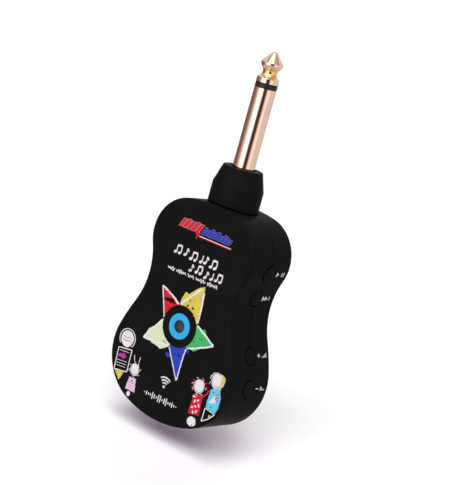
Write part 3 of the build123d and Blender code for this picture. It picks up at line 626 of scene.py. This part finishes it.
class Artwork:
    """Printed shapes on a canvas, gathered into one thin closed mesh for each colour."""

    def __init__(self, name, canvas):
        self.name = name
        self.canvas = canvas
        self.meshes = {}
        self.count = 0

    def slab(self, slot, points, faces, layer):
        """Closed thin solid with the given flat faces on its top."""
        bm = self.meshes.setdefault(slot, bmesh.new())
        self.count += 1
        lift = INK_LIFT + LAYER_LIFT * (layer + LEVEL_SHARE * (self.count % LEVELS))
        top = [bm.verts.new(self.canvas.point(*p, lift)) for p in points]
        low = [bm.verts.new(self.canvas.point(*p, -INK_SINK)) for p in points]
        edges = {(f[i - 1], f[i]) for f in faces for i in range(len(f))}
        for face in faces:
            bm.faces.new([top[i] for i in face])
            bm.faces.new([low[i] for i in reversed(face)])
        for a, b in edges:
            if (b, a) not in edges:
                bm.faces.new((top[b], top[a], low[a], low[b]))

    def fill(self, slot, corners, ragged=0.0, layer=FILLS):
        """Filled shape whose straight sides are roughened by ragged."""
        loop = []
        for (x0, y0), (x1, y1) in zip(corners, [*corners[1:], corners[0]]):
            length = math.hypot(x1 - x0, y1 - y0)
            pieces = max(1, round(length / RAGGED_STEP)) if ragged else 1
            for i in range(pieces):
                share = i / pieces
                x, y = x0 + (x1 - x0) * share, y0 + (y1 - y0) * share
                rough = RAGGED_BIAS + noise((x * RAGGED_GRAIN, y * RAGGED_GRAIN, self.count))
                push = ragged * rough if i else 0.0
                loop.append((x + push * (y1 - y0) / length, y - push * (x1 - x0) / length))
        self.slab(slot, loop, [tuple(range(len(loop)))], layer)

    def disc(self, slot, x, y, width, height=None, turn=0.0, ragged=0.0, layer=FILLS, sides=36):
        """Filled ellipse, turned by turn degrees."""
        height = width if height is None else height
        loop = []
        for i in range(sides):
            angle = 2 * math.pi * i / sides
            reach = 0.5 + ragged * noise((math.cos(angle) * 1.4 + x, math.sin(angle) * 1.4 + y, self.count))
            loop.append((x, y, width * reach * math.cos(angle), height * reach * math.sin(angle)))
        c, s = math.cos(math.radians(turn)), math.sin(math.radians(turn))
        points = [(x + dx * c - dy * s, y + dx * s + dy * c) for x, y, dx, dy in loop]
        self.slab(slot, points, [tuple(range(sides))], layer)

    def ring(self, slot, x, y, inner, outer, start=0.0, turn=360.0, layer=FILLS):
        """Ring, or part of one from start degrees through turn degrees."""
        closed = turn >= 360
        count = RING_SIDES if closed else max(6, round(RING_SIDES * turn / 360))
        points = []
        for i in range(count if closed else count + 1):
            angle = math.radians(start + turn * i / count)
            points += [(x + r * math.cos(angle), y + r * math.sin(angle)) for r in (inner, outer)]
        total = len(points)
        faces = [((2 * i) % total, (2 * i + 1) % total, (2 * i + 3) % total, (2 * i + 2) % total)
                 for i in range(count)]
        self.slab(slot, points, faces, layer)

    def pen(self, slot, points, width, wobble=0.0, layer=LINES):
        """Stroke with round ends through the points, drawn as if by hand."""
        line = curve_through(points)
        length = sum(math.dist(a, b) for a, b in zip(line, line[1:]))
        sides = []
        done = 0.0
        for i, (x, y) in enumerate(line):
            if i:
                done += math.dist(line[i - 1], line[i])
            (x0, y0), (x1, y1) = line[max(0, i - 1)], line[min(len(line) - 1, i + 1)]
            size = math.hypot(x1 - x0, y1 - y0)
            side = (-(y1 - y0) / size, (x1 - x0) / size)
            end = min(1.0, 2 * min(done, length - done) / width + 0.05)
            half = width / 2 * math.sqrt(1 - (1 - end) ** 2)
            half *= 1 + wobble * noise((x * WOBBLE_GRAIN, y * WOBBLE_GRAIN, self.count))
            sway = wobble * width / 2 * noise((x * SWAY_GRAIN, y * SWAY_GRAIN, self.count + SWAY_APART))
            sides += [(x + side[0] * (sway + k * half), y + side[1] * (sway + k * half)) for k in (1, -1)]
        faces = [(2 * i, 2 * i + 1, 2 * i + 3, 2 * i + 2) for i in range(len(line) - 1)]
        self.slab(slot, sides, faces, layer)

    def publish(self, finishes):
        """Makes one riding object for each colour."""
        for slot, bm in self.meshes.items():
            bmesh.ops.recalc_face_normals(bm, faces=bm.faces)
            bmesh.ops.triangulate(bm, faces=[f for f in bm.faces if len(f.verts) > 4])
            piece = new_object(f"{self.name}_{slot.removeprefix('ink_')}", mesh_from(self.name, bm))
            piece.data.materials.append(finishes[slot])
            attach(piece, HOUSING)


def curve_through(points):
    """Evenly stepped points along the smooth curve through the given ones."""
    if len(points) == 2:
        (x0, y0), (x1, y1) = points
        count = max(6, round(math.dist(*points) / STEP))
        return [(x0 + (x1 - x0) * i / count, y0 + (y1 - y0) * i / count) for i in range(count + 1)]
    ends = [points[0], *points, points[-1]]
    line = []
    for p0, p1, p2, p3 in zip(ends, ends[1:], ends[2:], ends[3:]):
        count = max(4, round(math.dist(p1, p2) / STEP))
        for i in range(count):
            t = i / count
            weights = (-t**3 + 2 * t**2 - t, 3 * t**3 - 5 * t**2 + 2, -3 * t**3 + 4 * t**2 + t,
                       t**3 - t**2)
            near = tuple(zip(weights, (p0, p1, p2, p3)))
            line.append(tuple(sum(w * p[k] for w, p in near) / 2 for k in (0, 1)))
    return [*line, points[-1]]


def polar(degrees, radius):
    """Point at an angle and a distance from the origin."""
    return radius * math.cos(math.radians(degrees)), radius * math.sin(math.radians(degrees))


# The star's painted tips, each as (left notch, tip, right notch) in millimetres from the lens.
STAR_TIPS = {
    "ink_red": ((-6.1, 0.6), (-9.5, 9.1), (-2.2, 5.9)),
    "ink_yellow": ((-1.8, 6.0), (5.2, 13.5), (5.9, 2.8)),
    "ink_green": ((6.0, 2.5), (13.2, -1.0), (4.4, -5.0)),
    "ink_blue": ((4.4, -5.0), (3.9, -14.9), (-1.7, -6.5)),
    "ink_pale_green": ((-1.7, -6.5), (-11.5, -7.4), (-6.2, 0.1)),
}
# Paint that ran over the white edges.
STAR_STRAYS = (
    ("ink_yellow", (5.0, 13.4), (3.2, 12.5), (1.7, 11.1), (0.4, 9.7), (-0.9, 10.0), (-1.4, 8.7),
     (-1.9, 6.8), (0.0, 7.6)),
    ("ink_pale_green", (-11.3, -7.0), (-10.1, -4.1), (-8.3, -2.6), (-6.3, 0.0), (-7.6, -3.0)),
    ("ink_pale_green", (-9.0, -7.2), (-1.9, -6.6), (-3.0, -7.5), (-4.5, -8.4), (-6.2, -7.9), (-8.0, -7.8)),
    ("ink_green", (7.6, 1.7), (8.8, 2.3), (9.7, 1.3), (9.3, 0.8)),
    ("ink_green", (5.6, -4.4), (8.2, -3.6), (8.2, -4.1), (6.9, -5.0)),
    ("ink_blue", (-0.5, -8.3), (-0.4, -9.3), (-1.3, -9.7), (-2.2, -9.3), (-2.1, -8.4)),
    ("ink_blue", (4.3, -5.2), (5.5, -5.2), (5.4, -6.2), (4.3, -6.2)),
    ("ink_red", (-6.2, 0.8), (-6.8, 1.9), (-8.4, 6.0), (-9.7, 9.3), (-9.0, 7.6), (-7.0, 2.6)),
    ("ink_red", (-9.4, 9.1), (-6.4, 8.3), (-2.6, 6.5), (-2.2, 5.9)),
)
# The white edges, each as (width, points that it runs through).
STAR_EDGES = (
    (0.36, (-6.1, 0.6), (-7.7, 4.9), (-9.4, 8.9)),
    (0.54, (-9.4, 9.0), (-5.5, 7.5), (-2.2, 5.9)),
    (0.60, (4.3, 12.7), (1.6, 9.7), (-1.7, 6.1)),
    (0.56, (5.3, 11.8), (5.7, 7.1), (5.8, 3.0)),
    (0.54, (6.0, 2.4), (9.4, 0.8), (13.0, -1.0)),
    (0.46, (13.1, -1.1), (8.7, -3.2), (4.5, -4.9)),
    (0.38, (4.3, -5.1), (4.0, -9.8), (3.9, -14.7)),
    (0.32, (3.9, -14.8), (1.2, -10.8), (-1.6, -6.6)),
    (0.58, (-1.9, -6.5), (-7.6, -7.0), (-11.4, -7.3)),
    (0.48, (-11.4, -7.3), (-8.9, -3.8), (-6.2, 0.0)),
)
# Places that the paint missed: one long one, then small ones as (x, y, size).
STAR_GAP = ((-8.3, 6.1), (-6.9, 6.2), (-5.9, 6.6), (-4.5, 6.7), (-3.4, 5.9), (-4.4, 5.3), (-5.6, 5.5),
            (-6.6, 5.2), (-7.7, 5.1))
STAR_SPECKS = ((2.8, 8.5, 0.3), (2.8, 6.4, 1.1), (0.9, 6.4, 1.0), (6.2, -2.4, 0.5), (8.7, -0.8, 0.6),
               (2.5, -7.8, 0.9), (-3.9, -5.9, 0.6), (-3.0, -6.1, 0.5), (-1.2, -7.6, 0.6), (4.4, 9.9, 0.3),
               (-8.2, 4.0, 0.4), (7.0, -3.3, 0.4), (-8.0, 7.6, 0.5), (-5.2, 3.9, 0.4))
# Small flecks along the long gap: how many, from where, over what length, and how scattered.
STAR_GAP_FLECKS = 16
STAR_GAP_START = (-8.3, 5.7)
STAR_GAP_LENGTH = 5.2
STAR_GAP_SCATTER = 0.9
STAR_DISC = 6.0
ARC_STEPS = 12
LENS_RING_INNER = 1.83
LENS_RING_OUTER = 3.68


def star(art):
    """Five crayon-painted tips with loose white edges, round a plain disc with a blue ring."""
    for slot, (left, tip, right) in STAR_TIPS.items():
        start, end = (math.degrees(math.atan2(y, x)) for x, y in (right, left))
        turn = (end - start) % 360
        arc = [polar(start + turn * i / ARC_STEPS, STAR_DISC) for i in range(ARC_STEPS + 1)]
        art.fill(slot, [*arc, left, tip, right], 0.16)
    for slot, *corners in STAR_STRAYS:
        art.fill(slot, corners, 0.1)
    for width, *points in STAR_EDGES:
        art.pen("ink_white", points, width, 0.6)
    art.fill("shell_black", STAR_GAP, 0.25, FLECKS)
    for index in range(STAR_GAP_FLECKS):
        x = STAR_GAP_START[0] + STAR_GAP_LENGTH * index / STAR_GAP_FLECKS
        y = STAR_GAP_START[1] + STAR_GAP_SCATTER * noise((3.1 * index, 0.7, 0.2))
        art.disc("shell_black", x, y, 0.8, 0.3, 90 * noise((index, 2.3, 0.9)), 0.45, FLECKS, 14)
    for x, y, size in STAR_SPECKS:
        art.disc("shell_black", x, y, size, 0.6 * size, 70 * x, 0.4, FLECKS, 16)
    art.ring("ink_sky_blue", 0, 0, LENS_RING_INNER, LENS_RING_OUTER)


BADGE_LOW = 26.9
BADGE_SLANT = 0.55
BADGE_BAR_SHARE = 0.78  # how much of the pitch a bar fills
# The badge's slanted level bars, each row as (ink, first x, pitch, white edge, heights).
BADGE_BARS = (("ink_red", -9.6, 1.55, 0.05, (2.5, 2.7, 2.5, 2.8, 2.6)),
              ("ink_blue", -1.5, 1.2, 0.02, (2.3, 1.9, 2.5, 2.0, 2.4, 1.8, 2.3, 1.9, 1.6)))
BADGE_POINT = ((-3.0, 27.2), (-1.5, 27.2), (-2.5, 24.9))
BADGE_LINE_PEN = 0.3


def badge(art):
    """Plain level-meter bars with a point and a line under them."""
    for slot, start, pitch, edge, heights in BADGE_BARS:
        for index, height in enumerate(heights):
            x = start + pitch * index
            width = pitch * BADGE_BAR_SHARE
            for ink, more, layer in (("ink_white", edge, FILLS), (slot, 0.0, FLECKS)):
                corners = [(x - more, BADGE_LOW - more), (x + width + more, BADGE_LOW - more),
                           (x + width + more + BADGE_SLANT * height, BADGE_LOW + height + more),
                           (x - more + BADGE_SLANT * height, BADGE_LOW + height + more)]
                art.fill(ink, corners, 0.0, layer)
    art.fill("ink_red", BADGE_POINT, 0.0, FLECKS)
    art.pen("ink_white", [(-1.7, 26.15), (10.0, 26.15)], BADGE_LINE_PEN)
    art.pen("ink_red", [(-1.6, 25.96), (10.0, 25.96)], BADGE_LINE_PEN, 0.0, LINES + 1)


NOTE_PEN = 0.36
BEAM_PEN = 0.6


def note(art, x, y, size, kind):
    """Hand-drawn music note: a plain one, one with a flag, or a pair joined by a beam."""
    tall = 1.9 * size
    stems = [x, x + 1.5 * size] if kind == "pair" else [x]
    for stem in stems:
        art.disc("ink_white", stem - 0.42 * size, y, 1.1 * size, 0.8 * size, 22, 0.15, LINES, 20)
        art.pen("ink_white", [(stem, y), (stem + 0.05, y + tall)], NOTE_PEN, 0.3)
    if kind == "pair":
        art.pen("ink_white", [(x - 0.05, y + tall), (stems[1] + 0.1, y + tall + 0.12)], BEAM_PEN, 0.2)
    if kind == "flag":
        flag = [(x + 0.05, y + tall), (x + 0.5 * size, y + 1.4 * size), (x + 0.62 * size, y + size)]
        art.pen("ink_white", flag, NOTE_PEN, 0.3)


# Rows of notes, each as (height, size, notes), and a note as (x, kind).
TITLE_ROWS = ((19.5, 1.05, ((-7.9, "pair"), (-4.3, "flag"), (-2.0, "pair"), (1.6, "plain"), (3.1, "flag"),
                            (5.3, "pair"))),
              (16.1, 1.0, ((-1.2, "flag"), (1.0, "pair"), (4.4, "flag"), (6.6, "plain"), (8.3, "pair"))))
SCRIBBLE_HEIGHT = 14.6
SCRIBBLE_SPANS = ((-9.4, -6.9), (-6.2, -2.6), (-1.9, 0.4), (1.1, 4.6), (5.3, 9.0))
SCRIBBLE_PITCH = 0.42
SCRIBBLE_PEN = 0.27


def title(art):
    """Two rows of music notes and a scribbled wave under them."""
    for height, size, notes in TITLE_ROWS:
        for index, (x, kind) in enumerate(notes):
            note(art, x, height + 0.25 * math.sin(2.1 * index), size, kind)
    for start, end in SCRIBBLE_SPANS:
        count = max(3, round((end - start) / SCRIBBLE_PITCH))
        points = []
        for i in range(count + 1):
            x = start + (end - start) * i / count
            points.append((x, SCRIBBLE_HEIGHT + 0.5 * (-1) ** i * (0.75 + 0.35 * math.sin(x * 2.3))))
        art.pen("ink_white", points, SCRIBBLE_PEN, 0.3)


RADIO_PLACE = (0.3, -18.0)
RADIO_DOT = 0.8
RADIO_ARCS = (1.15, 1.95, 2.75)
RADIO_PEN = 0.38
WAVEFORM_PLACE = (0.25, -21.8)
WAVEFORM_BARS = 17
WAVEFORM_WIDTH = 12.0
WAVEFORM_LEAST = 0.18
WAVEFORM_SWING = 1.1
WAVEFORM_BEAT = 1.9
WAVEFORM_DEPTH = 0.45
WAVEFORM_PEN = 0.32


def signal_icons(art):
    """Radio waves from a dot, and a sound wave in bars."""
    art.disc("ink_white", *RADIO_PLACE, RADIO_DOT, layer=LINES)
    for radius in RADIO_ARCS:
        art.ring("ink_white", *RADIO_PLACE, radius - RADIO_PEN / 2, radius + RADIO_PEN / 2, 50, 80, LINES)
    middle, height = WAVEFORM_PLACE
    for index in range(WAVEFORM_BARS):
        share = index / (WAVEFORM_BARS - 1)
        x = WAVEFORM_WIDTH * (share - 0.5) + middle
        swell = math.sin(math.pi * share) ** 0.6
        beat = 1 - WAVEFORM_DEPTH + WAVEFORM_DEPTH * math.sin(index * WAVEFORM_BEAT)
        half = WAVEFORM_LEAST + WAVEFORM_SWING * abs(swell * beat)
        art.pen("ink_white", [(x, height - half), (x, height + half)], WAVEFORM_PEN)


def outline(art, points, width=0.28, slot="ink_white"):
    """Closed hand-drawn outline."""
    for a, b in zip(points, [*points[1:], points[0]]):
        art.pen(slot, [a, b], width, 0.3)


def placed(x, y, *points):
    """Points given from the middle of a drawing's round head, moved to where the head is."""
    return [(x + across, y + up) for across, up in points]


HEAD_STROKES = 7


def drum_head(art, x, y, width, height):
    """Pale round skin with a thin dark line inside its edge and a few loose white strokes round it."""
    art.disc("ink_white", x, y, width, height, 0, 0.05)
    inner = 0.42 * width
    art.ring("shell_black", x, y, inner, inner + 0.13, 150, 250, FLECKS)
    for index in range(HEAD_STROKES):
        angle = 360 * index / HEAD_STROKES + 25 * noise((x, index, 1.7))
        (x0, y0), (x1, y1) = polar(angle, 0.58 * width), polar(angle + 16, 0.7 * width)
        art.pen("ink_white", placed(x, y, (x0, y0), (x1, y1)), 0.16, 0.4)


def maraca(art, x, y):
    """Round shaker with a decorated square grip and a pointed end."""
    art.disc("ink_white", x, y, 4.6, 5.0, 0, 0.05)
    art.ring("ink_white", x, y, 2.75, 3.0, -40, 262, LINES)
    for up in (-0.5, 0.4):
        art.pen("shell_black", placed(x, y, (-1.6, up), (-0.5, up - 0.2), (0.5, up + 0.1), (1.6, up)), 0.14)
    outline(art, placed(x, y, (-2.3, -3.3), (2.7, -2.6), (2.8, -9.2), (-2.0, -9.9)))
    art.disc("ink_magenta", x - 0.1, y - 5.3, 2.6, 1.7, 10, 0.4)
    for low in (-4.0, -6.9, -7.7, -8.5):
        stroke = ((-1.8, low), (-0.5, low + 0.1), (0.5, low + 0.25), (1.9, low + 0.3))
        art.pen("ink_white", placed(x, y, *stroke), 0.14, 0.3)
    art.fill("ink_yellow", placed(x, y, (-1.8, -10.0), (1.8, -9.6), (0.7, -12.4)), 0.12)


def hand_bell(art, x, y):
    """Small bell with a round knob, ringing."""
    drum_head(art, x, y, 3.4, 3.6)
    art.fill("ink_pink", placed(x, y, (-1.2, -2.4), (1.4, -2.3), (2.1, -6.3), (-1.7, -6.3)), 0.15)
    for across, up, size in ((0.1, -3.3, 0.7), (-0.4, -3.9, 0.5), (0.5, -4.0, 0.5), (-0.2, -5.1, 0.4)):
        art.disc("shell_black", x + across, y + up, size, 0.6 * size, 30, 0.2, FLECKS, 12)
    art.disc("ink_white", x, y - 7.3, 1.3, 1.5, layer=LINES)
    for stroke in (((-1.4, 4.0), (-0.8, 2.3)), ((1.0, 4.2), (0.8, 2.5))):
        art.pen("ink_white", placed(x, y, *stroke), 0.2, 0.4)


SHAKER_MARKS = (10, 35, 80, 150, 175, 200)
SHAKER_SPOTS = 8


def shaker(art, x, y):
    """Spotted shaker with a pale head and foot, a strap, and short sound marks beside it."""
    drum_head(art, x, y, 3.8, 4.0)
    for angle in SHAKER_MARKS:
        (x0, y0), (x1, y1) = polar(angle, 2.2), polar(angle + 6, 2.9)
        art.pen("ink_red", placed(x, y, (x0, y0), (x1, y1)), 0.34, 0.3)
    art.pen("ink_red", placed(x, y, (2.2, -2.4), (3.1, -1.0), (3.8, 0.3)), 0.4, 0.4)
    art.fill("ink_red", placed(x, y, (-1.1, -2.4), (2.2, -2.1), (2.5, -7.8), (-1.4, -8.5)), 0.12)
    for index in range(SHAKER_SPOTS):
        across = ((index * 5) % SHAKER_SPOTS) / SHAKER_SPOTS * 2.7 - 0.8
        down = 3.2 + 0.62 * index
        art.disc("ink_white", x + across, y - down, 1.0, 0.55, 40 * index, 0.3, FLECKS, 14)
    art.disc("ink_white", x + 0.6, y - 10.2, 3.1, 2.8, 20, 0.1)


BOWL = ((-1.2, -2.6), (1.9, -1.7), (2.9, -4.1), (2.9, -6.9), (2.2, -8.7), (-1.3, -8.1), (-1.5, -6.6),
        (-1.2, -4.2))
BOWL_DASHES = 5


def goblet_drum(art, x, y):
    """Goblet drum: pale skin with a yellow rim, painted bowl and outlined foot."""
    art.disc("ink_yellow", x + 1.2, y + 0.2, 3.0, 4.4, -15, 0.08)
    drum_head(art, x, y, 3.8, 4.2)
    art.ring("ink_white", x, y, 2.25, 2.45, 60, 120, LINES)
    art.fill("ink_cyan", placed(x, y, *BOWL), 0.12)
    art.fill("ink_white", placed(x, y, (-1.0, -6.7), (0.8, -3.9), (1.6, -5.8)), 0.1, FLECKS)
    for index in range(BOWL_DASHES):
        across = 1.5 + 0.25 * (-1) ** index
        art.disc("ink_red", x + across, y - 3.1 - 0.5 * index, 1.1, 0.34, 40, 0.4, LINES, 14)
    for across, up in ((0.0, -3.2), (0.4, -7.4)):
        art.disc("shell_black", x + across, y + up, 0.45, layer=FLECKS, sides=12)
    outline(art, placed(x, y, (-1.4, -8.3), (-1.5, -12.3), (0.8, -10.7), (2.2, -8.9)))
    outline(art, placed(x, y, (0.4, -10.4), (0.7, -9.6), (1.0, -10.2)), 0.16)


# Where the arrow heads and the upright bars of the play and skip signs stand.
ARROW_SIGNS = {
    "play": ((-1.35,), (0.65, 1.55)),
    "skip": ((-1.75, -0.45), (0.95,)),
}
SIGN_PEN = 0.32
LEVEL_BARS = 4
LEVEL_PITCH = 0.62
LEVEL_STEP = 0.34


def arrow_sign(art, arrows, bars):
    """Play or skip sign."""
    for x in arrows:
        art.fill("ink_white", [(x - 0.55, -0.75), (x + 0.7, 0.0), (x - 0.55, 0.75)], 0.0, LINES)
    for x in bars:
        art.pen("ink_white", [(x, -0.7), (x, 0.7)], SIGN_PEN)


def level_sign(art, louder):
    """Plus sign with rising bars, or minus sign with falling ones."""
    art.pen("ink_white", [(-2.2, 0.0), (-0.8, 0.0)], SIGN_PEN)
    if louder:
        art.pen("ink_white", [(-1.5, -0.65), (-1.5, 0.65)], SIGN_PEN)
    for step in range(LEVEL_BARS):
        rank = step if louder else LEVEL_BARS - 1 - step
        x = 0.1 + LEVEL_PITCH * step
        art.pen("ink_white", [(x, -0.7), (x, LEVEL_STEP * rank - 0.35)], SIGN_PEN)


DRAWINGS = {
    "print_star": star,
    "print_badge": badge,
    "print_title": title,
    "print_signal": signal_icons,
}
# Each hand-drawn instrument, and where the middle of its round head is.
DOODLES = {
    maraca: (-16.7, -9.8),
    hand_bell: (-11.3, -17.3),
    shaker: (12.1, -13.3),
    goblet_drum: (17.4, -9.8),
}
BUTTON_SIGNS = {
    "upper_button": "play",
    "waist_button": "skip",
    "flank_button": "louder",
    "lower_button": "softer",
}
SIGN_OFFSET = 5.4


def print_artwork(finishes):
    """Draws everything printed on the front face and beside the buttons."""
    front = Canvas(lens_face(), (1, 0, 0), (0, 0, 1))
    for name, draw in DRAWINGS.items():
        art = Artwork(name, front)
        draw(art)
        art.publish(finishes)
    doodles = Artwork("print_doodles", front)
    for draw, place in DOODLES.items():
        draw(doodles, *place)
    doodles.publish(finishes)
    presses = {joint["child"]: Vector(joint["axis"]) for joint in frame["joints"]}
    for button, kind in BUTTON_SIGNS.items():
        low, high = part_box(button)
        along = Vector((0, 1, 0))
        up = -presses[button].cross(along)
        centre = (low + high) / 2 + along * SIGN_OFFSET * MM
        art = Artwork(f"print_{button}_icon", Canvas(centre, along, up))
        if kind in ARROW_SIGNS:
            arrow_sign(art, *ARROW_SIGNS[kind])
        else:
            level_sign(art, kind == "louder")
        art.publish(finishes)


add_camera()
add_studio()
all_finishes = make_finishes()
finish_nodes(all_finishes)
print_artwork(all_finishes)
